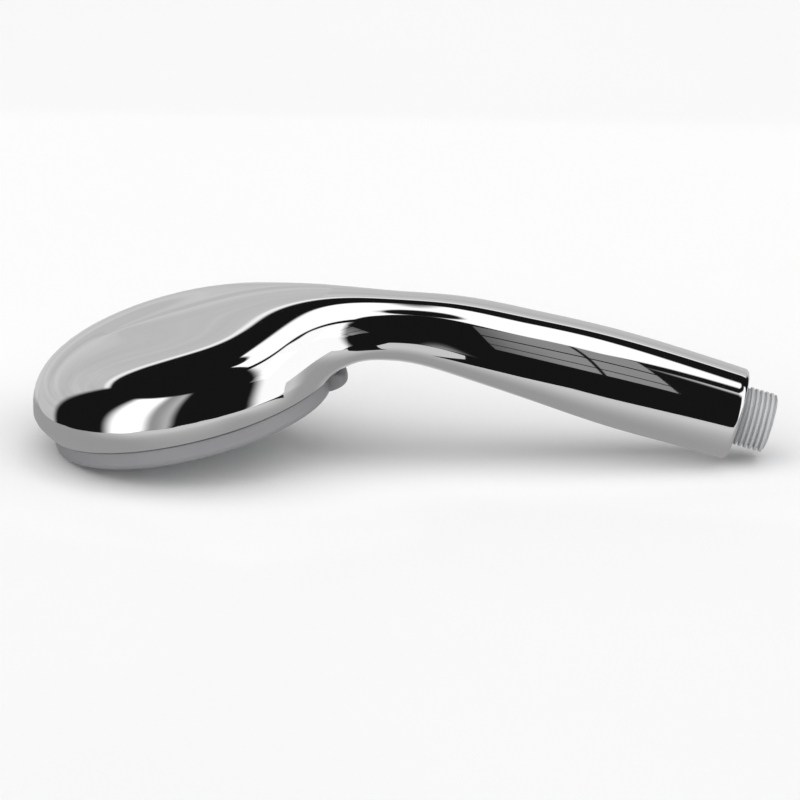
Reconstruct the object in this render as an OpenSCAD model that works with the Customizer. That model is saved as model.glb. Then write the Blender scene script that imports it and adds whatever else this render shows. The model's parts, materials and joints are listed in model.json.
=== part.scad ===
// Handheld shower head with a round spray face, lying face down: it rests on the far rim of the
// spray face and on the end of the handle. Z is up, X runs from the head to the threaded inlet,
// and Y is across. All lengths are in millimetres and all angles in degrees.

/* [Head] */
// Diameter of the grey selector ring round the spray face
face_d = 99; // [96:0.5:100]
// Tilt of the spray face against the table
face_tilt = 14.3; // [13.5:0.1:15]
// Height of the selector ring along the head's axis
ring_h = 7.5; // [7:0.1:8]
// Largest diameter of the chromed head, just above its lower edge
head_d = 109.4; // [108.4:0.2:110]
// Height of the crown above the widest line of the head
crown_h = 22.9; // [22.3:0.1:24.5]
// How far the crown leans towards the handle, per millimetre of height
crown_lean = 0.16; // [0.05:0.01:0.2]
// Fullness of the crown: 2 is an ellipse, more is squarer
crown_fullness = 3; // [2.7:0.1:3.1]

/* [Handle] */
// X of the open end of the handle
handle_end_x = 115.2; // [112:0.2:117]
// Slope of the straight part of the handle
handle_slope = 15.6; // [15:0.1:16.5]
// Size of the soft transition from the head into the neck
neck_blend = 23.4; // [20:0.2:24]
// Rounding of the handle's end edge
end_round = 1.6; // [1:0.1:2]

/* [Inlet] */
// Outside diameter of the G1/2 pipe thread
thread_d = 20.955; // [20.955]
// Pitch of the G1/2 pipe thread
thread_pitch = 1.814; // [1.814]
// Length of the threaded nose outside the handle
thread_l = 12; // [11:0.5:13]
// Bore of the inlet
inlet_d = 13; // [12:0.5:13.5]

/* [Selector] */
// Travel of the spray selector to each side of its middle setting
selector_swing = 35; // [30:1:38]
// Reach of the thumb lever beyond the ring
lever_reach = 6; // [5:0.1:6.2]
// Width of the thumb lever
lever_w = 15; // [12:0.5:18]
// Nozzles in each of the three rings, inner ring first
nozzle_counts = [18, 24, 30]; // [12:1:36]
// Radius of each ring of nozzles
nozzle_radii = [23.5, 30.5, 37.5]; // [22:0.1:38]

/* [Hidden] */
$fn = 72;

face_r = face_d / 2;
head_r = head_d / 2;
// Height of the widest line of the head above the parting plane
waist_h = 7.2;
// Radius of the shell's lower edge, on the parting plane
edge_r = 50.6;
// How suddenly the shell tucks in below its waist: 1 is a sharp crease, 2 a soft curve
tuck_power = 1.3;
// Rounding of the ring's lower outer edge
ring_fillet = 2.9;
// Centre of the spray face, then centre of the parting plane between shell and ring, in X and Z
face_z = ring_fillet + (face_r - ring_fillet) * sin(face_tilt) - ring_fillet * cos(face_tilt);
face_x = -73.8;
split_x = face_x - ring_h * sin(face_tilt);
split_z = face_z + ring_h * cos(face_tilt);

// Stations along the handle, evenly spaced in X: centre height, half height and half width.
// The curve runs smoothly between them as a cubic spline.
grip_from = -60;
grip_to = 120;
grip_height = [43.5, 46.5, 47.9, 44, 37, 29.8, 22.9, 15];
grip_half_h = [13.8, 9.8, 9.8, 14.1, 15.5, 17.6, 17.2, 16.8];
grip_flatness = [1.5, 1.46, 1.42, 1.31, 1.19, 1.08, 1.03, 1];
grip_half_w = [for (i = [0:7]) grip_half_h[i] * grip_flatness[i]];

// ---- Formulas of the outer form ----

// Value of a cubic spline at position t, where whole numbers of t are the stations
function station(c, i) =
    i < 0 ? 2 * c[0] - c[1] :
    i >= len(c) ? 2 * c[len(c) - 1] - c[len(c) - 2] : c[i];
function spline_step(c, i, f) =
    (station(c, i - 1) * pow(1 - f, 3)
    + station(c, i) * (3 * pow(f, 3) - 6 * f * f + 4)
    + station(c, i + 1) * (-3 * pow(f, 3) + 3 * f * f + 3 * f + 1)
    + station(c, i + 2) * pow(f, 3)) / 6;
function spline(c, t) =
    let (u = max(0, min(len(c) - 1.000001, t)), i = floor(u)) spline_step(c, i, u - i);
function along_grip(c, x) = spline(c, (x - grip_from) / (grip_to - grip_from) * (len(c) - 1));

// Height above the parting plane, and distance along it from the head's axis
function head_h(p) = -(p[0] - split_x) * sin(face_tilt) + (p[2] - split_z) * cos(face_tilt);
function head_a(p) = (p[0] - split_x) * cos(face_tilt) + (p[2] - split_z) * sin(face_tilt);

// Signed fields, below zero inside: the round head alone, and the handle alone
function head_field(p) =
    let (h = head_h(p), up = max(h - waist_h, 0), down = max(waist_h - h, 0),
         r = norm([head_a(p) - crown_lean * up, p[1]])
             + (head_r - edge_r) * pow(down / waist_h, tuck_power),
         n = crown_fullness)
    (pow(pow(r / head_r, n) + pow(up / crown_h, n), 1 / n) - 1) * crown_h;
function soft_step(t) = let (u = max(0, min(1, t))) u * u * (3 - 2 * u);
function grip_field(p) =
    let (half_h = along_grip(grip_half_h, p[0]), half_w = along_grip(grip_half_w, p[0]),
         rise = p[2] - along_grip(grip_height, p[0]),
         under = max(waist_h + 1.5 - head_h(p), 0),
         before = max(-10 - p[0], 0),
         near_head = soft_step((72 - norm([head_a(p), p[1]])) / 17))
    (norm([p[1] / half_w, rise / half_h]) - 1) * half_h
        + 0.03 * near_head * under * under + 0.003 * before * before;
// The two fields joined with a soft transition
function body_field(p) =
    let (a = head_field(p), b = grip_field(p), d = max(neck_blend - abs(a - b), 0) / neck_blend)
    min(a, b) - neck_blend * pow(d, 3) / 6;

// Distance from an inner point along a direction to the skin, by halving an interval
function reach(origin, dir, near, far, steps) =
    steps == 0 ? (near + far) / 2 :
    let (mid = (near + far) / 2)
    body_field(origin + mid * dir) < 0 ?
        reach(origin, dir, mid, far, steps - 1) : reach(origin, dir, near, mid, steps - 1);

// One loop of the skin, in the plane through an inner point spanned by Y and "up"
function skin_loop(origin, up, count, shrink) =
    let (high = reach(origin, up, 0, 80, 14), wide = reach(origin, [0, 1, 0], 0, 80, 14))
    [for (k = [0:count - 1])
        let (turn = 360 * k / count,
             ray = wide * cos(turn) * [0, 1, 0] + high * sin(turn) * up,
             dir = ray / norm(ray))
        origin + (reach(origin, dir, 0, 80, 16) - shrink) * dir];

// The loops start on the parting plane and fan out about a line under the neck
fan_loops = 26;
fan_pivot = [split_x + 56.5 * cos(face_tilt), 0, split_z + 56.5 * sin(face_tilt)];
function fan_dir(a) = [cos(a), 0, sin(a)];
function fan_loop(a) =
    let (up = fan_dir(a), far = outer_reach(fan_pivot, up, 116))
    skin_loop(fan_pivot + 0.52 * far * up, up, 56, 0);
// Outermost point of the skin on a ray from outside, stepping in by half millimetres
function outer_reach(origin, dir, from) =
    body_field(origin + from * dir) < 0 ? from : outer_reach(origin, dir, from - 0.5);

// They then run along the handle, square to its centre line
grip_loops = 26;
end_centre = [handle_end_x, 0, along_grip(grip_height, handle_end_x)];
end_axis = [cos(handle_slope), 0, -sin(handle_slope)];
function grip_loop(t, shrink) =
    let (x = fan_pivot[0] + t * (handle_end_x - fan_pivot[0]), lean = handle_slope * soft_step(1.4 * t))
    skin_loop([x, 0, along_grip(grip_height, x)], [sin(lean), 0, cos(lean)], 56, shrink);

skin_loops = concat(
    [for (i = [0:fan_loops - 1])
        fan_loop(180 + face_tilt - (90 + face_tilt) * pow(i / fan_loops, 0.9))],
    [for (i = [0:grip_loops - 1]) grip_loop(i / grip_loops, 0)],
    [for (a = [0:22.5:90])
        grip_loop(1 - end_round * (1 - sin(a)) / (handle_end_x - fan_pivot[0]),
                  end_round * (1 - cos(a)))]
);

// Closed solid through a list of loops that all hold the same number of points
module loft(loops) {
    n = len(loops[0]);
    last = len(loops) - 1;
    points = [for (ring = loops) each ring];
    sides = [for (j = [0:last - 1], k = [0:n - 1])
        let (k2 = (k + 1) % n)
        each [[j * n + k, j * n + k2, (j + 1) * n + k2], [j * n + k, (j + 1) * n + k2, (j + 1) * n + k]]];
    caps = [[for (k = [n - 1:-1:0]) k], [for (k = [0:n - 1]) last * n + k]];
    polyhedron(points, concat(sides, caps));
}

// ---- Frames ----

// Head frame: Z is the head's axis, zero on the parting plane, and X points to the neck
module in_head() translate([split_x, 0, split_z]) rotate([0, -face_tilt, 0]) children();
// Handle frame: Z is the handle's axis pointing out of its open end
module in_handle() translate(end_centre) rotate([0, 90 + handle_slope, 0]) children();

function head_point(a, h) = [
    split_x + a * cos(face_tilt) - h * sin(face_tilt), 0,
    split_z + a * sin(face_tilt) + h * cos(face_tilt)];
function handle_point(z) = end_centre + z * end_axis;

// ---- Small building blocks ----

module tube(outer, inner, h) {
    difference() {
        cylinder(r = outer, h = h);
        translate([0, 0, -1]) cylinder(r = inner, h = h + 2);
    }
}
module o_ring(middle, thickness) rotate_extrude() translate([middle, 0]) circle(r = thickness / 2, $fn = 24);
module around(count, radius, first = 0) {
    for (i = [0:count - 1]) rotate([0, 0, first + 360 * i / count]) translate([radius, 0, 0]) children();
}
// Straight round bar between two points of the XZ plane
module bar(from, to, r) {
    run = to - from;
    translate(from) rotate([0, atan2(run[0], run[2]), 0]) cylinder(r = r, h = norm(run));
}
// Round bar that follows several points, with slightly fuller ball corners
module bent_bar(points, r) {
    for (i = [0:len(points) - 2]) bar(points[i], points[i + 1], r);
    for (i = [1:len(points) - 2]) translate(points[i]) sphere(r = r + 0.4);
}

// ---- Waterway ----

tube_r = 7;
tube_bore = 5.2;
// Room left round the pipe in the shell
tube_room = 0.8;
elbow_a = 31;
elbow_h = 19.5;
base_top = 10;
base_under = 6;
spigot_h = 6;
knee = handle_point(-105);
elbow = head_point(elbow_a, elbow_h);
plug_l = 22;

// ---- Body: head back and handle in one chromed moulding ----

// Radius of the hollow in the head, of its rounded shoulder, and its depth above the parting plane
hollow_r = 47.5;
shoulder_r = 12;
hollow_top = 24;
// Radii of the socket in the handle's end and of the shallow recess round its mouth
socket_r = 12.5;
recess_r = 13.6;
recess_depth = 1.2;

module head_hollow() {
    in_head() difference() {
        union() {
            translate([0, 0, -1]) cylinder(r = hollow_r, h = 8);
            translate([0, 0, 6.99]) rotate_extrude() head_hollow_profile();
        }
        around(4, screw_r, 45) translate([0, 0, base_top]) tube(3.4, 1.5, 20);
    }
}
// Half outline of the hollow under the crown: a flat top with a wide rounded shoulder
module head_hollow_profile() {
    flat_r = hollow_r - shoulder_r;
    wall_h = hollow_top - 7 - shoulder_r;
    square([flat_r, hollow_top - 7]);
    square([hollow_r, wall_h]);
    translate([flat_r, wall_h]) intersection() {
        circle(r = shoulder_r);
        square(shoulder_r);
    }
}
module body_shell() {
    color([0.78, 0.79, 0.8]) difference() {
        loft(skin_loops);
        head_hollow();
        bent_bar([handle_point(-plug_l - 1), knee, elbow], tube_r + tube_room);
        translate(elbow) sphere(r = tube_r + tube_room + 0.6);
        in_handle() {
            translate([0, 0, -plug_l - 2]) cylinder(r = socket_r, h = plug_l + 3);
            translate([0, 0, -recess_depth]) cylinder(r = recess_r, h = 2);
        }
    }
}

// ---- Inlet ----

thread_r = thread_d / 2;
thread_depth = 0.64033 * thread_pitch;
thread_root_r = thread_r - thread_depth;
plug_r = socket_r - 0.1;
seal_z = -12;

// Ridges of the thread as closed rings: crest flat, 55 degree flanks and root flat
module thread_rings() {
    flank = thread_depth * tan(27.5);
    crest = 0.36;
    rings = floor((thread_l - 2.6) / thread_pitch);
    for (i = [0:rings]) translate([0, 0, thread_l - 0.9 - i * thread_pitch])
        rotate_extrude() polygon([
            [thread_root_r - 0.5, crest / 2 + flank], [thread_root_r, crest / 2 + flank],
            [thread_r, crest / 2], [thread_r, -crest / 2],
            [thread_root_r, -crest / 2 - flank], [thread_root_r - 0.5, -crest / 2 - flank]]);
}
module inlet_connector() {
    color([0.62, 0.63, 0.64]) in_handle() difference() {
        union() {
            thread_rings();
            translate([0, 0, -recess_depth]) cylinder(r = thread_root_r, h = thread_l + recess_depth);
            translate([0, 0, -recess_depth]) cylinder(r = recess_r - 0.2, h = 1.4);
            translate([0, 0, -plug_l]) cylinder(r = plug_r, h = plug_l - 1.1);
        }
        translate([0, 0, 1]) cylinder(d = inlet_d, h = thread_l);
        translate([0, 0, -plug_l - 1]) cylinder(r = tube_bore, h = plug_l + 3);
        translate([0, 0, -plug_l - 1]) cylinder(r = tube_r + 0.1, h = 9);
        translate([0, 0, seal_z]) rotate_extrude() translate([11.3, -1]) square([2, 2]);
    }
}
module connector_seal() {
    color([0.12, 0.12, 0.13]) in_handle() translate([0, 0, seal_z]) o_ring(11.9, 1.16);
}
// Domed sieve that keeps grit out: rim, floor with slots and a short collar
module filter_screen() {
    color([0.25, 0.4, 0.6]) in_handle() translate([0, 0, thread_l - 2.6]) difference() {
        union() {
            cylinder(r = inlet_d / 2 - 0.05, h = 1);
            tube(inlet_d / 2 - 0.05, inlet_d / 2 - 1, 1.8);
        }
        for (y = [-4.2:1.4:4.2])
            translate([-sqrt(27 - y * y), y - 0.35, -1]) cube([2 * sqrt(27 - y * y), 0.7, 3]);
    }
}
module flow_limiter() {
    color([0.85, 0.85, 0.3]) in_handle() translate([0, 0, 4]) difference() {
        union() {
            cylinder(r = inlet_d / 2 - 0.05, h = 2.6);
            cylinder(r = 2, h = 3.6);
        }
        around(8, 3.9) translate([0, 0, -1]) cylinder(r = 0.75, h = 5);
    }
}
module limiter_ring() {
    color([0.12, 0.12, 0.13]) in_handle() translate([0, 0, 7.2]) o_ring(3.2, 1.1);
}
// Plastic pipe from the connector up the handle, through the neck and down to the distributor
module waterway_tube() {
    foot = head_point(elbow_a, base_top + 0.1);
    color([0.9, 0.9, 0.88]) difference() {
        bent_bar([handle_point(-plug_l + 7.9), knee, elbow, foot], tube_r);
        bent_bar([handle_point(-plug_l + 9), knee, elbow, head_point(elbow_a, base_top - 1)], tube_bore);
        in_head() translate([elbow_a, 0, base_top - 1]) cylinder(r = 6, h = spigot_h + 1.1);
    }
}
module waterway_seal() {
    color([0.12, 0.12, 0.13]) in_head() translate([elbow_a, 0, base_top + 3.5]) o_ring(5.45, 1);
}

// ---- Distributor inside the head ----

base_r = 46.9;
hub_r = 6;
port_r = 22;
detent_r = 36;
detent_ball_r = 1.5;
screw_r = 37;

module distributor_base() {
    along_pipe = (knee - elbow) / norm(knee - elbow);
    color([0.92, 0.92, 0.9]) difference() {
        base_plate();
        // Dip in the top for the pipe
        bar(elbow + 8 * along_pipe, knee, tube_r + 0.4);
    }
}
module base_plate() {
    in_head() difference() {
        union() {
            translate([0, 0, base_under]) cylinder(r = base_r, h = base_top - base_under);
            translate([0, 0, 1.9]) cylinder(r = hub_r, h = base_top + 4 - 1.9);
            translate([elbow_a, 0, base_top]) cylinder(r = 5.9, h = spigot_h);
            translate([0, 0, 2.2]) tube(base_r, base_r - 1.5, 4);
            translate([-detent_r, 0, 2.2]) cylinder(r = 3, h = 11.8);
            around(2, port_r, 90) translate([0, 0, base_under]) cylinder(r = 6, h = 8);
        }
        translate([elbow_a, 0, base_under - 1]) cylinder(r = 4.4, h = 20);
        translate([elbow_a, 0, base_top + 2.9]) rotate_extrude() translate([4.95, 0]) square([2, 1.2]);
        translate([0, 0, 0]) cylinder(r = 1.6, h = 12);
        translate([-detent_r, 0, 1]) cylinder(r = detent_ball_r + 0.08, h = 12);
        around(2, port_r, 90) translate([0, 0, base_under - 1]) cylinder(r = 4, h = 7.5);
        around(4, screw_r, 45) translate([0, 0, base_under - 1]) cylinder(r = 1.5, h = 8);
    }
}
// Four screws that hold the distributor up into the head
module base_screws() {
    color([0.7, 0.7, 0.72]) in_head() around(4, screw_r, 45) {
        translate([0, 0, base_under - 1.6]) cylinder(r = 2.6, h = 1.6);
        translate([0, 0, base_under - 0.1]) cylinder(r = 1.4, h = 9);
    }
}
// Two rubber cups that press on the turning disc round its ports
module port_seals() {
    color([0.15, 0.15, 0.16]) in_head() around(2, port_r, 90)
        translate([0, 0, 1.9]) tube(3.8, 2, 6);
}
module coil_spring(radius, wire, length, turns) {
    for (i = [0:turns - 1]) translate([0, 0, wire / 2 + i * (length - wire) / (turns - 1)])
        rotate_extrude() translate([radius, 0]) circle(r = wire / 2, $fn = 16);
}
module port_springs() {
    color([0.75, 0.75, 0.77]) in_head() around(2, port_r, 90)
        translate([0, 0, 8.1]) coil_spring(3, 0.6, 4.2, 5);
}
module detent_spring() {
    color([0.75, 0.75, 0.77]) in_head() translate([-detent_r, 0, 5.5]) coil_spring(1.1, 0.36, 7.4, 7);
}
// Spring-loaded ball that clicks into the notches of the turning disc
module detent_ball() {
    color([0.8, 0.8, 0.82]) in_head() translate([-detent_r, 0, 3.4]) sphere(r = detent_ball_r);
}
module centre_screw() {
    color([0.7, 0.7, 0.72]) in_head() difference() {
        union() {
            translate([0, 0, -5.4]) cylinder(r = 4, h = 1.6);
            translate([0, 0, -3.9]) cylinder(r = 2.5, h = 5.8);
            translate([0, 0, 1.8]) cylinder(r = 1.55, h = 8);
        }
        translate([0, 0, -6]) cylinder(r = 1.4, h = 1.8, $fn = 6);
    }
}
module thrust_washer() {
    color([0.95, 0.95, 0.93]) in_head() translate([0, 0, -3.8]) tube(4, 2.5, 0.5);
}
module rotary_seal() {
    color([0.12, 0.12, 0.13]) in_head() translate([0, 0, 4]) o_ring(44.3, 1.6);
}

// ---- Selector: everything that turns with the thumb lever ----

ring_top = -0.35;
ring_inner = 43.8;
plate_top = -4.8;
plate_under = -6.3;
disc_r = 43.2;
disc_under = -0.9;
disc_top = 1.6;
insert_r = 16;
nozzle_r = 1;
// Radius of the three posts that tie the spray plate to the turning disc
post_r = 27;

// Plan of the lever: a tab whose outer corners are rounded
module lever_plan() {
    corner = 4;
    tip = face_r + lever_reach;
    translate([face_r - 3, -lever_w / 2]) square([tip - face_r + 3 - corner, lever_w]);
    translate([face_r - 3, -lever_w / 2 + corner]) square([tip - face_r + 3, lever_w - 2 * corner]);
    for (side = [-1, 1]) translate([tip - corner, side * (lever_w / 2 - corner)]) circle(r = corner);
}
// Side view of the lever: thick at the ring, with a rounded lower edge and a slanted top
module lever_side() {
    tip = face_r + lever_reach;
    polygon([[face_r - 3, -ring_h + 1], [tip - 2.4, -ring_h + 1], [tip, -ring_h + 3.4],
             [tip, -2.6], [tip - 2, -1.1], [face_r - 3, -0.7]]);
    translate([tip - 2.4, -ring_h + 3.4]) circle(r = 2.4);
}
module selector_ring() {
    color([0.6, 0.61, 0.62]) in_head() difference() {
        union() {
            rotate_extrude() ring_profile();
            intersection() {
                translate([0, 0, -ring_h]) linear_extrude(ring_h) lever_plan();
                rotate([90, 0, 0]) translate([0, 0, -lever_w]) linear_extrude(2 * lever_w) lever_side();
            }
        }
        translate([0, 0, plate_under - 0.05]) cylinder(r = ring_inner, h = ring_h + 2);
        translate([0, 0, -ring_h - 1]) cylinder(r = ring_inner - 1.2, h = ring_h);
    }
}
// Section of the ring: a straight wall with a rounded lower outer edge
module ring_profile() {
    inner = ring_inner - 2;
    translate([inner, -ring_h]) square([face_r - ring_fillet - inner, ring_fillet]);
    translate([inner, -ring_h + ring_fillet]) square([face_r - inner, ring_h + ring_top - ring_fillet]);
    translate([face_r - ring_fillet, -ring_h + ring_fillet]) circle(r = ring_fillet);
}
module nozzle_places() {
    for (row = [0:2]) around(nozzle_counts[row], nozzle_radii[row], 90 * row / nozzle_counts[row])
        children();
}
module spray_plate() {
    color([0.86, 0.87, 0.88]) in_head() difference() {
        union() {
            translate([0, 0, plate_under]) cylinder(r = ring_inner - 0.1, h = plate_top - plate_under);
            around(3, post_r) translate([0, 0, plate_under]) cylinder(r = 2.2, h = disc_under - plate_under);
        }
        around(3, post_r) translate([0, 0, plate_top - 0.5]) cylinder(r = 1.25, h = 5);
        translate([0, 0, plate_under - 1]) cylinder(r = insert_r + 0.1, h = 4);
        nozzle_places() translate([0, 0, plate_under - 1]) cylinder(r = nozzle_r + 0.25, h = 4, $fn = 24);
    }
}
// Rubber mat with all the nozzles, which stand a little out of the plate
module nozzle_mat() {
    color([0.45, 0.47, 0.5]) in_head() difference() {
        union() {
            translate([0, 0, plate_top + 0.01]) tube(ring_inner - 0.8, insert_r + 0.1, 1.2);
            nozzle_places() translate([0, 0, -7.3]) cylinder(r = nozzle_r + 0.1, h = 3, $fn = 24);
        }
        around(3, post_r) translate([0, 0, plate_top - 1]) cylinder(r = 2.3, h = 4);
        nozzle_places() translate([0, 0, -8]) cylinder(r = 0.45, h = 6, $fn = 24);
    }
}
// Cup in the middle of the face that houses the turbine and has the massage outlets
module massage_insert() {
    color([0.6, 0.61, 0.62]) in_head() difference() {
        translate([0, 0, -6.7]) cylinder(r = insert_r, h = 5.8);
        translate([0, 0, -5.3 + 2]) tube(insert_r - 1.5, hub_r + 0.2, 3.2);
        translate([0, 0, -7]) cylinder(r = 4.3, h = 3.7);
        translate([0, 0, -7]) cylinder(r = 2.55, h = 7);
        around(12, 11) translate([0, 0, -7]) cylinder(r = 0.9, h = 6);
    }
}
// Small water wheel whose vanes chop the massage jets as it spins
module turbine_rotor() {
    color([0.95, 0.95, 0.9]) in_head() {
        translate([0, 0, -3.1]) difference() {
            union() {
                cylinder(r = 14, h = 0.6);
                cylinder(r = hub_r + 1.6, h = 1.9);
                for (i = [0:11]) rotate([0, 0, 30 * i]) translate([hub_r + 1, -0.35, 0]) cube([7, 0.7, 1.9]);
            }
            translate([0, 0, -1]) cylinder(r = hub_r + 0.28, h = 4);
            rotate_extrude(angle = 150) translate([9, -1]) square([4, 2]);
        }
    }
}
// Turning disc with a group of ports for each spray and three notches for the click
module distributor_disc() {
    color([0.9, 0.9, 0.88]) in_head() difference() {
        union() {
            translate([0, 0, disc_under]) cylinder(r = disc_r, h = disc_top - disc_under);
            translate([0, 0, -3.3]) tube(ring_inner - 0.8, ring_inner - 3, 2.5);
            translate([0, 0, disc_top - 0.1]) tube(disc_r, disc_r - 1.6, 3.7);
        }
        translate([0, 0, -4]) cylinder(r = 2.55, h = 7);
        for (side = [90, 270], turn = [-selector_swing, 0, selector_swing])
            rotate([0, 0, side + turn]) translate([port_r, 0, -3]) cylinder(r = 1.9, h = 6);
        for (turn = [-selector_swing, 0, selector_swing])
            rotate([0, 0, 180 + turn]) translate([detent_r, 0, disc_top + 0.7]) sphere(r = 1.7);
        around(3, post_r) {
            translate([0, 0, disc_under - 1]) cylinder(r = 1.3, h = 4);
            translate([0, 0, 0.2]) cylinder(r = 2.4, h = 3);
        }
    }
}
module disc_seal() {
    color([0.12, 0.12, 0.13]) in_head() translate([0, 0, -2.3]) o_ring(40.1, 1);
}
module insert_seal() {
    color([0.12, 0.12, 0.13]) in_head() translate([0, 0, -2.4]) o_ring(insert_r + 0.9, 1.5);
}
module disc_screws() {
    color([0.7, 0.7, 0.72]) in_head() around(3, post_r) difference() {
        union() {
            translate([0, 0, 0.2]) cylinder(r = 2.2, h = 1.2);
            translate([0, 0, -4.6]) cylinder(r = 1.2, h = 4.9);
        }
        translate([0, 0, 0.8]) cylinder(r = 0.9, h = 1, $fn = 6);
    }
}
module centre_cap() {
    color([0.78, 0.79, 0.8]) in_head() translate([0, 0, -6.9]) cylinder(r = 4.2, h = 1.2);
}

body_shell();
inlet_connector();
connector_seal();
filter_screen();
flow_limiter();
limiter_ring();
waterway_tube();
waterway_seal();
distributor_base();
base_screws();
port_seals();
port_springs();
detent_spring();
detent_ball();
centre_screw();
thrust_washer();
rotary_seal();
selector_ring();
spray_plate();
nozzle_mat();
massage_insert();
turbine_rotor();
distributor_disc();
disc_seal();
insert_seal();
disc_screws();
centre_cap();
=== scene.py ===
"""Handheld shower head with a chromed shell, a turning spray face and a threaded inlet.

The pieces are built in the order in which the real shower head is put together: the inlet fittings,
the water parts inside the head, the turning face, the selector ring, and the chromed shell last.
Lengths are in metres.
"""
import json
import math

import bpy
import numpy as np
from mathutils import Matrix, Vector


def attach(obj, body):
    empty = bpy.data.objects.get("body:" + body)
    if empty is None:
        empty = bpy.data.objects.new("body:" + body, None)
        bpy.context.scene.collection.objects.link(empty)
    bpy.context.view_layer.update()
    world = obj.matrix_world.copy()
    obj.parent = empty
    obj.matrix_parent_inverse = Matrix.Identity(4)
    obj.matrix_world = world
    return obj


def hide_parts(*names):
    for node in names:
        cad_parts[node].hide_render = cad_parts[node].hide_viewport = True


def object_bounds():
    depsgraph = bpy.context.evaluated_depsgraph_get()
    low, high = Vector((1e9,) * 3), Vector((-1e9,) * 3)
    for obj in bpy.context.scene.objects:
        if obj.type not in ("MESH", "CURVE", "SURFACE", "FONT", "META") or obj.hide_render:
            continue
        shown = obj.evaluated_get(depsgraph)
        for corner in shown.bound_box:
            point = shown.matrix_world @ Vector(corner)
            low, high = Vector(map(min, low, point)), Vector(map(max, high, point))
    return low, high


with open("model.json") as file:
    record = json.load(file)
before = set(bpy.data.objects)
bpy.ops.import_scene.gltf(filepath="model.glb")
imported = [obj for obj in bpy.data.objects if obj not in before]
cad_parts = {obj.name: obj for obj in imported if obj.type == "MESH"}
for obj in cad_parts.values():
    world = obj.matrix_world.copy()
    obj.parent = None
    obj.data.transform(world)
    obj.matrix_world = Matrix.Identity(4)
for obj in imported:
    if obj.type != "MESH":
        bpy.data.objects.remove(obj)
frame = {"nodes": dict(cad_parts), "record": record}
cad_low, cad_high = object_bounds()

MM = 0.001

# ---------------------------------------------------------------------------------------------
# Inlet connector. A grey acetal moulding with a half inch pipe thread, pressed into the handle's
# end. The thread is a real helix, and behind it sit the flange, the plug and the seal's groove.
# ---------------------------------------------------------------------------------------------


def mount(name):
    """Place and outward direction of one of the part's mounts, in metres."""
    found = next(m for m in frame["record"]["mounts"] if m["name"] == name)
    return np.array(found["pos_m"]), np.array(found["axis"])


# The handle's frame: Z points out of its open end, and X is across the handle's height
inlet_face, outward = mount("inlet_face")
thread_length = 12 * MM
handle_origin = inlet_face - thread_length * outward
handle_axes = np.array([[-outward[2], 0, outward[0]], [0, -1, 0], outward])

# The head's frame: Z is the axis of the turning face, X points to the neck, zero is where the
# shell meets the ring
selector_joint = next(j for j in frame["record"]["behaviour"]["joints"] if j["name"] == "selector_turn")
head_origin = np.array(selector_joint["pos_m"])
head_up = np.array(selector_joint["axis"])
head_axes = np.array([[head_up[2], 0, -head_up[0]], [0, 1, 0], head_up])


def placed(points, origin, axes):
    """Points given along three axes from an origin, turned into the shared frame."""
    return origin + points @ axes


def smooth_step(t):
    """0 below 0, 1 above 1, and a soft ramp between them."""
    t = np.clip(t, 0, 1)
    return t * t * (3 - 2 * t)


def grid_faces(rows, columns, close_rows=False):
    """Four-sided faces of a grid of points, row after row. Each row closes on itself, and the last
    row joins the first one if asked."""
    row = np.arange(rows if close_rows else rows - 1)[:, None]
    column = np.arange(columns)[None, :]
    next_row = (row + 1) % rows
    next_column = (column + 1) % columns
    corners = [row * columns + column, row * columns + next_column,
               next_row * columns + next_column, next_row * columns + column]
    return np.stack(np.broadcast_arrays(*corners), -1).reshape(-1, 4)


def row_ends(rows, columns):
    """Two faces that close a grid of points, over its first row and its last one."""
    row = np.arange(columns)
    return np.stack([row[::-1], row + (rows - 1) * columns])


def new_piece(name, points, faces, material, body):
    """Object in the shared frame from points and arrays of faces, smooth except where its surface
    turns by more than the sharp angle."""
    sharp = math.radians(32)
    mesh = bpy.data.meshes.new(name)
    mesh.from_pydata(points.tolist(), [], [face for block in faces for face in block.tolist()])
    mesh.polygons.foreach_set("use_smooth", np.ones(len(mesh.polygons), bool))
    mesh.set_sharp_from_angle(angle=sharp)
    mesh.materials.append(material)
    piece = bpy.data.objects.new(name, mesh)
    bpy.context.scene.collection.objects.link(piece)
    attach(piece, body)
    return piece


def add_node(tree, kind, settings=None, inputs=None):
    """New shader node: its settings are set first, then each input is linked or given a value."""
    node = tree.nodes.new(kind)
    for name, setting in (settings or {}).items():
        setattr(node, name, setting)
    for name, value in (inputs or {}).items():
        if isinstance(value, Value):
            tree.links.new(value.socket, node.inputs[name])
        else:
            node.inputs[name].default_value = value
    return node


class Value:
    """A number that flows through a shader, so that its sums read as plain arithmetic."""

    def __init__(self, tree, socket):
        self.tree = tree
        self.socket = socket

    def worked(self, operation, *others):
        """Result of one maths operation on this value and others."""
        inputs = dict(enumerate((self, *others)))
        node = add_node(self.tree, "ShaderNodeMath", {"operation": operation}, inputs)
        return Value(self.tree, node.outputs[0])

    def __add__(self, other):
        return self.worked("ADD", other)

    def __mul__(self, other):
        return self.worked("MULTIPLY", other)

    def __sub__(self, other):
        return self.worked("SUBTRACT", other)

    def __rsub__(self, other):
        return (self * -1) + other

    def __neg__(self):
        return self * -1

    __radd__ = __add__
    __rmul__ = __mul__

    def ramp(self, start, end):
        """0 at start, 1 at end and a soft step between; start may be the larger."""
        inputs = {"Value": self, "From Min": start, "From Max": end}
        node = add_node(self.tree, "ShaderNodeMapRange", {"interpolation_type": "SMOOTHSTEP"}, inputs)
        return Value(self.tree, node.outputs["Result"])

    def window(self, start, end, soft_start, soft_end):
        """1 between start and end, fading to 0 over a soft width centred on each of them."""
        rise = self.ramp(start - soft_start / 2, start + soft_start / 2)
        return rise * self.ramp(end + soft_end / 2, end - soft_end / 2)


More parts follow.
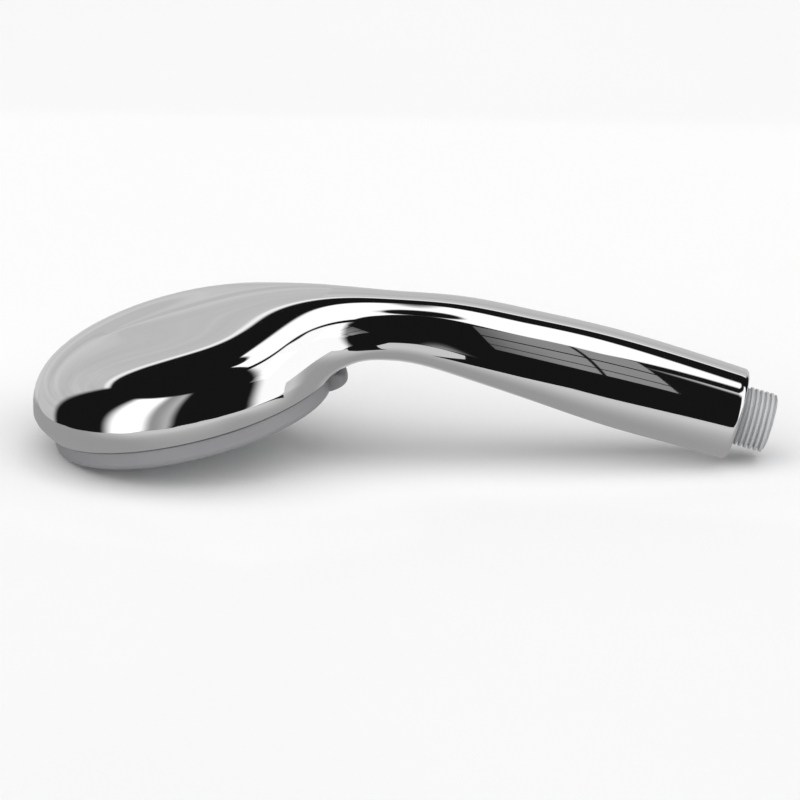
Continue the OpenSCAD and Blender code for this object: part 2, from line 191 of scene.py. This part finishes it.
def place_in(tree, stretch=(1, 1, 1)):
    """Position on the piece itself, stretched along each axis."""
    coordinates = add_node(tree, "ShaderNodeTexCoord")
    inputs = {"Vector": Value(tree, coordinates.outputs["Object"]), "Scale": stretch}
    return Value(tree, add_node(tree, "ShaderNodeMapping", None, inputs).outputs["Vector"])


def noise(tree, place, scale, detail=3.0):
    """Cloudy noise between 0 and 1."""
    inputs = {"Vector": place, "Scale": scale, "Detail": detail}
    return Value(tree, add_node(tree, "ShaderNodeTexNoise", None, inputs).outputs[0])


def shaded(tree, dark, light, share):
    """Colour between two others. A Mix node has sockets of every type, so its colour ones are
    picked by number."""
    factor, first_colour, second_colour, mixed_colour = 0, 6, 7, 2
    inputs = {factor: share, first_colour: (*dark, 1), second_colour: (*light, 1)}
    node = add_node(tree, "ShaderNodeMix", {"data_type": "RGBA"}, inputs)
    return Value(tree, node.outputs[mixed_colour])


def bumped(tree, height, depth):
    """Surface direction roughened by a height pattern of some depth in metres."""
    node = add_node(tree, "ShaderNodeBump", None, {"Height": height, "Distance": depth, "Strength": 1.0})
    return Value(tree, node.outputs["Normal"])


def new_material(name, metallic, inputs_of):
    """Material whose surface inputs are worked out by a function of its node tree."""
    material = bpy.data.materials.new(name)
    material.use_nodes = True
    tree = material.node_tree
    tree.nodes.clear()
    surface = add_node(tree, "ShaderNodeBsdfPrincipled", None, {"Metallic": metallic, **inputs_of(tree)})
    output = add_node(tree, "ShaderNodeOutputMaterial")
    tree.links.new(surface.outputs["BSDF"], output.inputs["Surface"])
    return material


def moulded(name, colour, roughness, grain=0.00001, variation=0.06):
    """Moulded plastic or rubber: soft mottling, and a fine grain left by the mould."""
    def inputs_of(tree):
        place = place_in(tree)
        mottle = noise(tree, place, 60)
        fine = noise(tree, place, 2600, 1.0)
        low = [c * (1 - variation) for c in colour]
        high = [min(c * (1 + variation), 1) for c in colour]
        return {
            "Base Color": shaded(tree, low, high, mottle),
            "Roughness": roughness + 0.1 * (noise(tree, place, 220) - 0.5),
            "Normal": bumped(tree, fine, grain),
        }
    return new_material(name, 0.0, inputs_of)


def thread_radius(z, angle, crest, pitch, start, end):
    """Radius of a screw thread: narrow crests and roots joined by steep flanks, along a helix. The
    thread grows out of its root at the start and fades into it at the end."""
    depth = 0.64 * pitch
    turn = (z / pitch - angle / (2 * np.pi)) % 1
    flank = smooth_step(2.1 - np.abs(turn - 0.5) * 5.2)
    full = smooth_step((z - start) / (0.7 * pitch)) * smooth_step((end - z) / (0.5 * pitch))
    return crest - depth + depth * flank * full


def connector_points():
    """The connector as one closed profile turned round the handle's axis. Along the threaded nose
    the radius also follows the helix. Rows run along the profile and columns round the axis."""
    columns = 120
    crest, pitch = 10.4775 * MM, 1.814 * MM
    plug_r, groove_r, flange_r = 12.4, 11.3, 13.4
    plug_z, flange_z, groove = -22, -1.2, (-13, -11)
    pipe_r, mouth_r, mouth_z, nose_r, nose_z = 5.2, 6.5, 1, 9.0, 12
    bevel = 0.3
    angle = np.linspace(0, 2 * np.pi, columns, endpoint=False)
    behind = np.array([(pipe_r, plug_z), (plug_r, plug_z), (plug_r, groove[0]), (groove_r, groove[0]),
                       (groove_r, groove[1]), (plug_r, groove[1]), (plug_r, flange_z),
                       (flange_r, flange_z), (flange_r, 0.2)]) * MM
    thread_z = np.linspace(0.2 * MM, thread_length - bevel * MM, 240)
    thread = thread_radius(thread_z[:, None], angle, crest, pitch, 0.5 * MM, thread_length)
    front = np.array([(nose_r, nose_z), (mouth_r + bevel, nose_z), (mouth_r, nose_z - bevel),
                      (mouth_r, mouth_z), (pipe_r, mouth_z)]) * MM
    radius = np.vstack([np.tile(behind[:, :1], columns), thread, np.tile(front[:, :1], columns)])
    z = np.concatenate([behind[:, 1], thread_z, front[:, 1]])[:, None] + 0 * angle
    return np.stack([radius * np.cos(angle), radius * np.sin(angle), z], -1)


connector_grey = moulded("connector_acetal", (0.50, 0.51, 0.52), 0.42)
points = connector_points()
rows, columns = points.shape[:2]
connector = new_piece(
    "threaded_connector",
    placed(points.reshape(-1, 3), handle_origin, handle_axes),
    [grid_faces(rows, columns, close_rows=True)],
    connector_grey,
    "body",
)
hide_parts("inlet_connector")

# ---------------------------------------------------------------------------------------------
# Small fittings of the inlet: the blue polypropylene sieve and the acetal flow limiter are pushed
# into the connector by hand. Its rubber rings and all the other seals are of the same nitrile.
# ---------------------------------------------------------------------------------------------


def finished(nodes, material):
    """Gives some of the part's own pieces their material."""
    for name in nodes:
        frame["nodes"][name].data.materials.clear()
        frame["nodes"][name].data.materials.append(material)


rubber_black = moulded("nitrile_rubber", (0.03, 0.03, 0.032), 0.62, 0.000015)
finished(["connector_seal", "limiter_ring", "waterway_seal", "rotary_seal", "disc_seal",
          "insert_seal", "port_seals"], rubber_black)
finished(["filter_screen"], moulded("sieve_polypropylene", (0.06, 0.13, 0.32), 0.4))
finished(["flow_limiter"], moulded("limiter_acetal", (0.62, 0.6, 0.16), 0.38))

# ---------------------------------------------------------------------------------------------
# Water parts inside the head and handle: the pipe, the distributor, the turning disc and the small
# water wheel are white acetal mouldings. Their screws and the click ball are stainless steel.
# ---------------------------------------------------------------------------------------------


def drawn_steel(name, roughness, brushed=0.0):
    """Stainless steel with fine lines left by drawing or turning."""
    def inputs_of(tree):
        lines = noise(tree, place_in(tree, (40, 40, 900)), 6)
        return {
            "Base Color": shaded(tree, (0.50, 0.50, 0.51), (0.66, 0.66, 0.67), lines),
            "Roughness": roughness + brushed * lines,
        }
    return new_material(name, 1.0, inputs_of)


acetal_white = moulded("white_acetal", (0.78, 0.78, 0.74), 0.36)
steel_screw = drawn_steel("screw_steel", 0.28, 0.12)
finished(["waterway_tube", "distributor_base", "distributor_disc", "turbine_rotor"], acetal_white)
finished(["thrust_washer"], moulded("white_washer", (0.86, 0.86, 0.84), 0.3))
finished(["base_screws", "centre_screw", "disc_screws"], steel_screw)
finished(["detent_ball"], drawn_steel("ball_steel", 0.08, 0.04))

# ---------------------------------------------------------------------------------------------
# Springs: stainless wire wound to a helix with closed ends. Two press the rubber port seals
# against the turning disc, and a small one presses the click ball.
# ---------------------------------------------------------------------------------------------


def spring(radius, wire, length, turns, across, height):
    """Wire swept along a helix: one parameter runs along the wire and the other round it. The
    first and last three quarter turns lie flat, as on a closed spring, and the wire's ends are
    rounded over."""
    steps_per_turn, sides, tips_per_turn = 24, 10, 12
    run = np.linspace(0, 1, int(turns * steps_per_turn))[:, None]
    turn = 2 * np.pi * turns * run
    flat = 0.75 / turns
    climb = np.clip((run - flat) / (1 - 2 * flat), 0, 1)
    around = np.linspace(0, 2 * np.pi, sides, endpoint=False)[None, :]
    from_tip = (1 - np.minimum(run, 1 - run) * turns * tips_per_turn).clip(0, 1)
    thick = wire / 2 * np.sqrt(np.clip(1 - from_tip ** 2, 1e-4, 1))
    out = radius + thick * np.cos(around)
    rise = height + wire / 2 + climb * (length - wire) + thick * np.sin(around)
    points = np.stack([across[0] + out * np.cos(turn), across[1] + out * np.sin(turn), rise], -1)
    rows, columns = points.shape[:2]
    return points.reshape(-1, 3) * MM, [grid_faces(rows, columns), row_ends(rows, columns)]


def joined(shapes):
    """Several sets of points and faces as one."""
    points, faces, first = [], [], 0
    for some_points, some_faces in shapes:
        points.append(some_points)
        faces += [block + first for block in some_faces]
        first += len(some_points)
    return np.vstack(points), faces


spring_wire = drawn_steel("spring_wire", 0.22, 0.1)
points, faces = joined([spring(3, 0.6, 4.2, 4.5, (0, side * 22), 8.1) for side in (-1, 1)])
points = placed(points, head_origin, head_axes)
port_springs = new_piece("port_coil_springs", points, faces, spring_wire, "body")
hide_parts("port_springs")

points, faces = spring(1.1, 0.36, 7.4, 7, (-36, 0), 5.5)
points = placed(points, head_origin, head_axes)
click_spring = new_piece("click_spring", points, faces, spring_wire, "body")
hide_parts("detent_spring")

# ---------------------------------------------------------------------------------------------
# Spray face: a light plastic plate with the holes for the nozzles, the grey massage insert pressed
# into its middle, and a small domed chrome cap that snaps in over the centre screw.
# ---------------------------------------------------------------------------------------------


def turned(profile, columns):
    """Surface of a closed profile turned round the head's axis, in millimetres. Columns run round
    the axis and rows along the profile."""
    angle = np.linspace(0, 2 * np.pi, columns, endpoint=False)
    radius, height = np.array(profile, float).T[:, :, None]
    points = np.stack([radius * np.cos(angle), radius * np.sin(angle), height + 0 * angle], -1)
    return points.reshape(-1, 3) * MM, [grid_faces(len(profile), columns, close_rows=True)]


def arc(centre, radius, start, end, count):
    """Points of a circular arc in a profile, with its angles in degrees."""
    angle = np.radians(np.linspace(start, end, count))
    return [(centre[0] + radius * math.cos(a), centre[1] + radius * math.sin(a)) for a in angle]


face_light = moulded("face_plastic", (0.60, 0.61, 0.62), 0.34, 0.000006)
insert_grey = moulded("insert_plastic", (0.34, 0.35, 0.36), 0.4)
finished(["spray_plate"], face_light)
finished(["massage_insert"], insert_grey)


def cap_shape():
    """Shallow dome turned about the centre: a flat back, then rings that shrink towards the top."""
    columns, rim_r, rim_z, back_z, bulge = 64, 4.2, -6.2, -5.7, 0.7
    angle = np.linspace(0, 2 * np.pi, columns, endpoint=False)
    down = np.radians(np.linspace(0, 86, 14))[:, None]
    radius = np.vstack([[[rim_r]], rim_r * np.cos(down)])
    height = np.vstack([[[back_z]], rim_z - bulge * np.sin(down)])
    points = np.stack([radius * np.cos(angle), radius * np.sin(angle), height + 0 * angle], -1)
    rows = len(points)
    faces = [grid_faces(rows, columns)[:, ::-1], row_ends(rows, columns)[:, ::-1]]
    return points.reshape(-1, 3) * MM, faces


def polished(name, colour, roughness):
    """Chrome plating: nearly a mirror, with a faint haze and hairline wipe marks."""
    def inputs_of(tree):
        place = place_in(tree)
        haze = noise(tree, place, 25, 2.0)
        wiped = noise(tree, place_in(tree, (8, 70, 70)), 30, 4.0)
        dark = [c * 0.97 for c in colour]
        return {
            "Base Color": shaded(tree, dark, colour, haze),
            "Roughness": roughness + 0.015 * wiped + 0.01 * haze,
        }
    return new_material(name, 1.0, inputs_of)


chrome = polished("chrome_plating", (0.93, 0.93, 0.94), 0.02)
points, faces = cap_shape()
cap = new_piece("chrome_centre_cap", placed(points, head_origin, head_axes), faces, chrome, "selector")
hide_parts("centre_cap")

# ---------------------------------------------------------------------------------------------
# Nozzle mat: one silicone moulding behind the plate. Its seventy-two soft nozzles poke through the
# plate's holes, each with a rounded tip and a fine bore.
# ---------------------------------------------------------------------------------------------


def nozzle_shape():
    """One nozzle turned round its own axis: a collar, a tapering tip with a rounded lip, the bore."""
    collar_r, neck_r, bore_r, lip_r = 1.1, 1.05, 0.45, 0.25
    lip = arc((0.72, -7.05), lip_r, 0, -180, 5)
    return turned([(collar_r, -4.4), (neck_r, -6.2), *lip, (bore_r, -6.6), (bore_r, -4.4)], 14)


def nozzle_places():
    """Centres of the nozzles on their three rings."""
    for row, (count, radius) in enumerate([(18, 23.5), (24, 30.5), (30, 37.5)]):
        first = math.radians(90 * row / count)
        for i in range(count):
            angle = first + 2 * math.pi * i / count
            yield radius * math.cos(angle) * MM, radius * math.sin(angle) * MM


mat_inner, mat_outer, mat_under, mat_top = 16.1, 43, -4.79, -3.59
mat = turned([(mat_inner, mat_under), (mat_outer, mat_under),
              (mat_outer, mat_top), (mat_inner, mat_top)], 96)
one_points, one_faces = nozzle_shape()
nozzles = [(one_points + np.array([x, y, 0]), one_faces) for x, y in nozzle_places()]
points, faces = joined([mat, *nozzles])
silicone = moulded("grey_silicone", (0.17, 0.18, 0.20), 0.5, 0.000004)
points = placed(points, head_origin, head_axes)
nozzle_mat = new_piece("silicone_nozzle_mat", points, faces, silicone, "selector")
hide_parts("nozzle_mat")

# ---------------------------------------------------------------------------------------------
# Selector ring. Satin grey moulding that frames the spray face and turns with it. A rounded thumb
# lever swells out of its wall on the neck side.
# ---------------------------------------------------------------------------------------------


def rounded_box(turn, power):
    """Place along a rounded box and height of its outline, as the turn runs through half a circle."""
    side = -np.sign(np.cos(turn)) * np.abs(np.cos(turn)) ** power
    return side, np.sin(turn).clip(0) ** power


def ring_points():
    """Closed profile turned round the head's axis, pushed outwards where the lever is. The push is
    the product of two rounded outlines: one round the ring and one up its wall."""
    lever_reach, half_width, middle, half_height = 5.9, math.radians(8.3), -3.65, 2.85
    outer_r, inner_r, lip_r, fillet_r, fillet_z = 49.5, 43.8, 42.6, 2.9, -4.6
    under, seat, top = -7.5, -6.35, -0.35
    side, plan = rounded_box(np.linspace(0, np.pi, 61), 0.55)
    rest = np.linspace(half_width, 2 * np.pi - half_width, 242)[1:-1]
    angle = np.concatenate([half_width * side, rest])
    push_plan = np.concatenate([plan, 0 * rest])
    up, push_wall = rounded_box(np.linspace(0, np.pi, 29), 0.6)
    wall_z = middle + half_height * up
    fillet = np.clip((fillet_z - wall_z) / fillet_r, 0, 1)
    wall_r = outer_r - fillet_r * (1 - np.sqrt(1 - fillet ** 2))
    below = arc((outer_r - fillet_r, fillet_z), fillet_r, -90, -41, 7)
    before = [(lip_r, seat), (lip_r, under + 0.3), (lip_r + 0.3, under), *below]
    after = [(outer_r, -0.78), (outer_r - 0.2, -0.58), (48.7, -0.38), (inner_r, top), (inner_r, seat)]
    profile = np.array([*before, *zip(wall_r, wall_z), *after])
    push = np.concatenate([np.zeros(len(before)), push_wall, np.zeros(len(after))])
    radius = profile[:, :1] + lever_reach * push[:, None] * push_plan
    height = profile[:, 1:] + 0 * angle
    return np.stack([radius * np.cos(angle), radius * np.sin(angle), height], -1) * MM


ring_grey = moulded("ring_plastic", (0.27, 0.27, 0.28), 0.42, 0.000012, 0.03)
points = ring_points()
rows, columns = points.shape[:2]
ring = new_piece(
    "selector_ring_with_lever",
    placed(points.reshape(-1, 3), head_origin, head_axes),
    [grid_faces(rows, columns, close_rows=True)],
    ring_grey,
    "selector",
)
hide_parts("selector_ring")

# ---------------------------------------------------------------------------------------------
# Shell: head, neck and handle in one plastic moulding, chrome plated all over. Its form is a full
# dome round the head's leaning axis, melted into a handle that flattens towards the neck.
# ---------------------------------------------------------------------------------------------

# Widest radius of the head, radius of its lower edge, and how sharply it tucks in between them
head_r, edge_r, tuck_power = 54.7, 50.6, 1.3
# Height of the widest line, then of the crown above it, with the crown's lean and fullness
waist_h, crown_h, crown_lean, crown_fullness = 7.2, 22.9, 0.16, 3
neck_blend = 23.4
handle_end_x = 115.2
handle_slope = math.radians(15.6)
face_tilt = math.atan2(-head_up[0], head_up[2])
split_x, split_z = head_origin[0] / MM, head_origin[2] / MM
# Height, half height and flatness (width over height) of the handle at even steps of X
grip_from, grip_to = -60, 120
grip_height = [43.5, 46.5, 47.9, 44, 37, 29.8, 22.9, 15]
grip_half_h = [13.8, 9.8, 9.8, 14.1, 15.5, 17.6, 17.2, 16.8]
grip_flatness = [1.5, 1.46, 1.42, 1.31, 1.19, 1.08, 1.03, 1]
grip_half_w = [high * flat for high, flat in zip(grip_half_h, grip_flatness)]


def along_grip(values, x):
    """Smooth curve (a cubic B-spline) guided by values at even steps along the handle."""
    last = len(values) - 1
    step = np.clip((x - grip_from) / (grip_to - grip_from) * last, 0, last - 1e-6)
    i = np.floor(step).astype(int)
    f = step - i
    guide = np.array([2 * values[0] - values[1], *values, 2 * values[-1] - values[-2]])
    return (guide[i] * (1 - f) ** 3 + guide[i + 1] * (3 * f ** 3 - 6 * f * f + 4)
            + guide[i + 2] * (3 * f + 3 * f * f - 3 * f ** 3 + 1) + guide[i + 3] * f ** 3) / 6


def body_field(p):
    """Below zero inside the body. The head is a leaning superellipse that tucks in under its
    waist, the handle is an ellipse round its spline, and the two are joined by a soft minimum.
    The handle fades out below the head's waist and towards the far side of the head."""
    x, y, z = p[..., 0], p[..., 1], p[..., 2]
    height = -(x - split_x) * math.sin(face_tilt) + (z - split_z) * math.cos(face_tilt)
    along = (x - split_x) * math.cos(face_tilt) + (z - split_z) * math.sin(face_tilt)
    up = np.maximum(height - waist_h, 0)
    down = np.maximum(waist_h - height, 0)
    tuck = (head_r - edge_r) * (down / waist_h) ** tuck_power
    wide = (np.hypot(along - crown_lean * up, y) + tuck) / head_r
    n = crown_fullness
    head = ((wide ** n + (up / crown_h) ** n) ** (1 / n) - 1) * crown_h
    half_h = along_grip(grip_half_h, x)
    half_w = along_grip(grip_half_w, x)
    rise = z - along_grip(grip_height, x)
    under = np.maximum(waist_h + 1.5 - height, 0)
    before = np.maximum(-10 - x, 0)
    near_head = smooth_step((72 - np.hypot(along, y)) / 17)
    grip = (np.hypot(y / half_w, rise / half_h) - 1) * half_h
    grip = grip + 0.03 * near_head * under ** 2 + 0.003 * before ** 2
    closeness = np.maximum(neck_blend - np.abs(head - grip), 0) / neck_blend
    return np.minimum(head, grip) - neck_blend * closeness ** 3 / 6


def reach(origin, direction):
    """Distance from an inner point to the skin, by halving an interval. The skin lies a twentieth of
    a millimetre inside the nominal form."""
    halvings, farthest, inset = 26, 80, 0.05
    near = np.zeros(direction.shape[:-1])
    far = near + farthest
    for _ in range(halvings):
        middle = (near + far) / 2
        inside = body_field(origin + middle[..., None] * direction) < -inset
        near = np.where(inside, middle, near)
        far = np.where(inside, far, middle)
    return (near + far) / 2


def skin_loops(origins, ups, shrink, count):
    """Loops of the skin round inner points, each in the plane spanned by Y and its own up."""
    across = np.array([0.0, 1, 0]) + 0 * ups
    high = reach(origins, ups)[:, None, None]
    wide = reach(origins, across)[:, None, None]
    turn = np.linspace(0, 2 * np.pi, count, endpoint=False)[:, None]
    ray = wide * np.cos(turn) * across[:, None] + high * np.sin(turn) * ups[:, None]
    ray /= np.linalg.norm(ray, axis=-1, keepdims=True)
    centre = origins[:, None]
    return centre + (reach(centre, ray) - np.reshape(shrink, (-1, 1)))[..., None] * ray


def directions(angle):
    """Unit vectors in the XZ plane at angles from X."""
    return np.stack([np.cos(angle), 0 * angle, np.sin(angle)], -1)


def head_fan(pivot, count):
    """Loops over the head, from its lower edge up to the neck, in planes that fan out from a line
    through the pivot. Each goes round a point about half way to the head's outer skin."""
    share = np.linspace(0, 1, 110, endpoint=False) ** 0.9
    ups = directions(np.pi + face_tilt - (np.pi / 2 + face_tilt) * share)
    inwards = np.arange(116, 0, -0.25)[:, None, None]
    first_inside = np.argmax(body_field(pivot + inwards * ups) < 0, axis=0)
    outermost = inwards[first_inside, 0]
    return skin_loops(pivot + 0.52 * outermost * ups, ups, 0 * share, count)


def handle_run(start_x, count):
    """Loops along the handle, square to its centre line, that close in over the rounded edge of
    its open end."""
    end_round = 1.6
    straight = 100
    curl = np.linspace(0, np.pi / 2, 9)[1:]
    length = handle_end_x - start_x
    round_from = 1 - end_round / length
    rounding = 1 - end_round / length * (1 - np.sin(curl))
    share = np.concatenate([np.linspace(0, round_from, straight), rounding])
    shrink = np.concatenate([np.zeros(straight), end_round * (1 - np.cos(curl))])
    lean = handle_slope * smooth_step(1.4 * share)
    x = start_x + share * length
    centres = np.stack([x, 0 * x, along_grip(grip_height, x)], -1)
    return skin_loops(centres, directions(np.pi / 2 - lean), shrink, count)


def shell_skin(count):
    """Loops that fan over the head about a line under the neck, then run along the handle."""
    pivot_along = 56.5
    pivot = np.array([split_x + pivot_along * math.cos(face_tilt), 0,
                      split_z + pivot_along * math.sin(face_tilt)])
    return np.vstack([head_fan(pivot, count), handle_run(pivot[0], count)])


def towards(loop, origin, up, radius, height):
    """Circle about an axis, with each point in line with the same point of a loop."""
    flat = loop - origin
    flat = flat - (flat @ up)[:, None] * up
    flat /= np.linalg.norm(flat, axis=-1, keepdims=True)
    return origin + radius * flat + height * up


def shell_points():
    """The skin, closed by the hollow of the head at one end and the socket of the handle at the
    other. Row by row: hollow, lip, skin, end face, socket."""
    skin = shell_skin(count=256)
    centre = 0.01
    head_at = head_origin / MM
    shoulder_r, shoulder_z, hollow_top, hollow_r = 35.5, 12, 24, 47.5
    shoulder = arc((shoulder_r, shoulder_z), hollow_top - shoulder_z, 75, 0, 6)
    hollow = [(centre, hollow_top), (shoulder_r, hollow_top), *shoulder,
              (hollow_r, 0.4), (hollow_r + 0.4, 0)]
    inside = [towards(skin[0], head_at, head_up, radius, height) for radius, height in hollow]
    end_at = handle_origin / MM
    recess_r, recess_z, socket_r, socket_z = 13.6, -1.2, 12.5, -24
    socket = [(recess_r + 0.3, 0), (recess_r, -0.3), (recess_r, recess_z), (socket_r, recess_z),
              (socket_r, socket_z), (centre, socket_z)]
    end = [towards(skin[-1], end_at, outward, radius, height) for radius, height in socket]
    return np.concatenate([np.stack(inside), skin, np.stack(end)]) * MM


points = shell_points()
rows, columns = points.shape[:2]
faces = [grid_faces(rows, columns), row_ends(rows, columns)]
shell = new_piece("chromed_shell", points.reshape(-1, 3), faces, chrome, "body")
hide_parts("body_shell")

# ---------------------------------------------------------------------------------------------
# Studio: a pale floor, soft panels of light far round the object, two cards close to it that only
# the plating mirrors, a very soft daylight for the floor and the plastics, and the camera.
# ---------------------------------------------------------------------------------------------


def pale_floor():
    """Large plain floor just under the object. The plating mirrors the studio instead of it."""
    half, gap = 40, 0.2 * MM
    grey, pale = (0.86, 0.86, 0.86), (0.90, 0.90, 0.90)
    mesh = bpy.data.meshes.new("floor")
    corners = [(-half, -half, 0), (half, -half, 0), (half, half, 0), (-half, half, 0)]
    mesh.from_pydata(corners, [], [(0, 1, 2, 3)])
    floor = bpy.data.objects.new("floor", mesh)
    floor.location.z = cad_low[2] - gap
    floor.visible_glossy = False
    bpy.context.scene.collection.objects.link(floor)
    material = new_material("floor_paper", 0.0, lambda tree: {
        "Base Color": shaded(tree, grey, pale, noise(tree, place_in(tree), 3)),
        "Roughness": 0.9,
    })
    mesh.materials.append(material)


def studio_light():
    """Soft panels round a dark room, as a function of the direction in degrees: azimuth runs from
    the front towards the right, and elevation up from the level."""
    world = bpy.data.worlds.new("studio")
    bpy.context.scene.world = world
    world.use_nodes = True
    tree = world.node_tree
    tree.nodes.clear()
    coordinates = add_node(tree, "ShaderNodeTexCoord")
    direction = Value(tree, coordinates.outputs["Generated"])
    parts = add_node(tree, "ShaderNodeSeparateXYZ", None, {0: direction})
    x, y, z = (Value(tree, parts.outputs[i]) for i in range(3))
    azimuth = x.worked("ARCTAN2", -y) * math.degrees(1)
    elevation = z.worked("ARCSINE") * math.degrees(1)
    # Card at the left: bright at its outer end, grey towards the front
    bright = azimuth.ramp(-25, -37)
    middle = 0.30 + 0.16 * azimuth.ramp(-24, -12)
    left = azimuth.ramp(-69, -54) * azimuth.ramp(-6, -15) * elevation.window(-24, 40, 4, 5)
    left = left * (middle + bright)
    # Large panel at the right, and the long strip above it behind a dark gap
    right = azimuth.window(54, 106, 14, 5) * elevation.window(-24, 60, 4, 2)
    slant = elevation - (160 - azimuth) * 0.09
    strip = azimuth.window(57, 172, 6, 6) * slant.window(58, 76, 1.5, 3)
    # Backdrop behind, from the left round to the right, with soft folds and a bright upper edge
    drawn_out = add_node(tree, "ShaderNodeCombineXYZ", None, {0: azimuth * 0.015, 1: elevation * 0.13})
    folds = noise(tree, Value(tree, drawn_out.outputs[0]), 1.0, 4.0)
    round_back = 1 - azimuth.window(-117, 146, 8, 12)
    edge = elevation.ramp(39, 41)
    backdrop = round_back * elevation.ramp(43.5, 41.5) * (0.36 + 0.36 * folds + 0.4 * edge)
    dark_room = 0.008
    light = dark_room + left + 1.05 * right + 1.1 * strip + backdrop
    background = add_node(tree, "ShaderNodeBackground", None, {"Color": light, "Strength": 1.0})
    output = add_node(tree, "ShaderNodeOutputWorld")
    tree.links.new(background.outputs[0], output.inputs["Surface"])


def mirrored_card(name, corners, glow_of, see_through):
    """Flat glowing card that only the plating sees. It hides what is behind it at a see-through of
    0, and adds its glow to that at 1."""
    mesh = bpy.data.meshes.new(name)
    mesh.from_pydata(corners, [], [tuple(range(len(corners)))])
    card = bpy.data.objects.new(name, mesh)
    card.visible_camera = card.visible_diffuse = card.visible_shadow = False
    card.visible_transmission = card.visible_volume_scatter = False
    bpy.context.scene.collection.objects.link(card)
    material = bpy.data.materials.new(name + "_glow")
    material.use_nodes = True
    tree = material.node_tree
    tree.nodes.clear()
    glow = add_node(tree, "ShaderNodeEmission", None, {"Color": glow_of(tree)})
    clear = add_node(tree, "ShaderNodeBsdfTransparent", None, {"Color": (*(see_through,) * 3, 1)})
    both = add_node(tree, "ShaderNodeAddShader", None, {
        0: Value(tree, glow.outputs[0]), 1: Value(tree, clear.outputs[0])})
    output = add_node(tree, "ShaderNodeOutputMaterial")
    tree.links.new(both.outputs[0], output.inputs["Surface"])
    mesh.materials.append(material)


def table_card():
    """Bright part of the table round the object: wide behind and beside it, narrow in front, and
    darker where the object shades it."""
    outline = [(-178, 60), (-176, -20), (-163, -50), (-130, -94), (-57, -128), (-12, -112), (6, -92),
               (8, -60), (-2, -32), (33, -48), (52, -62), (95, -64), (200, -80), (300, 0),
               (300, 400), (-300, 400)]
    corners = [(x * MM, y * MM, cad_low[2] - 0.1 * MM) for x, y in outline]

    def glow_of(tree):
        parts = add_node(tree, "ShaderNodeSeparateXYZ", None, {0: place_in(tree)})
        along, across = Value(tree, parts.outputs[0]), Value(tree, parts.outputs[1])
        half_width = 0.052 - 0.035 * along.ramp(-0.045, -0.005)
        away = across.worked("ABSOLUTE") - half_width
        return 0.30 + 0.27 * away.ramp(-0.006, 0.035) + 0.06 * noise(tree, place_in(tree), 12)

    mirrored_card("table_card", corners, glow_of, see_through=0.0)


def window_card():
    """Grey panel over the handle at the front, crossed by dark bars."""
    left, right, low, high = 48, 142, (-150, 96), (-44, 190)
    places = [(left, *low), (right, *low), (right, *high), (left, *high)]
    corners = [tuple(np.array(place) * MM) for place in places]

    def glow_of(tree):
        parts = add_node(tree, "ShaderNodeSeparateXYZ", None, {0: place_in(tree)})
        across, height = Value(tree, parts.outputs[0]), Value(tree, parts.outputs[2])
        panes = 1
        for line, start, end in [(height, 118, 121), (height, 150, 154), (across, 100, 103)]:
            panes = panes * (1 - line.window(start * MM, end * MM, MM, MM))
        return (0.10 + 0.16 * across.ramp(0.04, 0.09)) * panes

    mirrored_card("window_card", corners, glow_of, see_through=1.0)


def soft_daylight():
    """Very soft light from above and the front, which only lights the floor and the plastics."""
    data = bpy.data.lights.new("daylight", "SUN")
    data.angle = math.radians(100)
    data.energy = 2.75
    lamp = bpy.data.objects.new("daylight", data)
    lamp.rotation_euler = (math.radians(25), math.radians(-8), 0)
    lamp.visible_glossy = False
    lamp.visible_camera = False
    bpy.context.scene.collection.objects.link(lamp)


def camera():
    """Long lens in front of the object, looking down by 18 degrees, with a very slight roll."""
    distance, seen_width = 6.0, 0.2794
    aim_right, aim_up = -0.00227, 0.01865
    data = bpy.data.cameras.new("camera")
    data.sensor_width = 36
    data.lens = data.sensor_width * distance / seen_width
    shot = bpy.data.objects.new("camera", data)
    down, roll = math.radians(18), math.radians(1)
    level_up = np.array([0, math.sin(down), math.cos(down)])
    back = np.array([0, -math.cos(down), math.sin(down)])
    right = math.cos(roll) * np.array([1, 0, 0]) + math.sin(roll) * level_up
    up = -math.sin(roll) * np.array([1, 0, 0]) + math.cos(roll) * level_up
    place = aim_right * right + aim_up * up + distance * back
    turn = np.eye(4)
    turn[:3, 0], turn[:3, 1], turn[:3, 2], turn[:3, 3] = right, up, back, place
    bpy.context.scene.collection.objects.link(shot)
    shot.matrix_world = Matrix(turn.tolist())
    bpy.context.scene.camera = shot


pale_floor()
table_card()
window_card()
studio_light()
soft_daylight()
camera()
bpy.context.scene.view_settings.view_transform = "Standard"
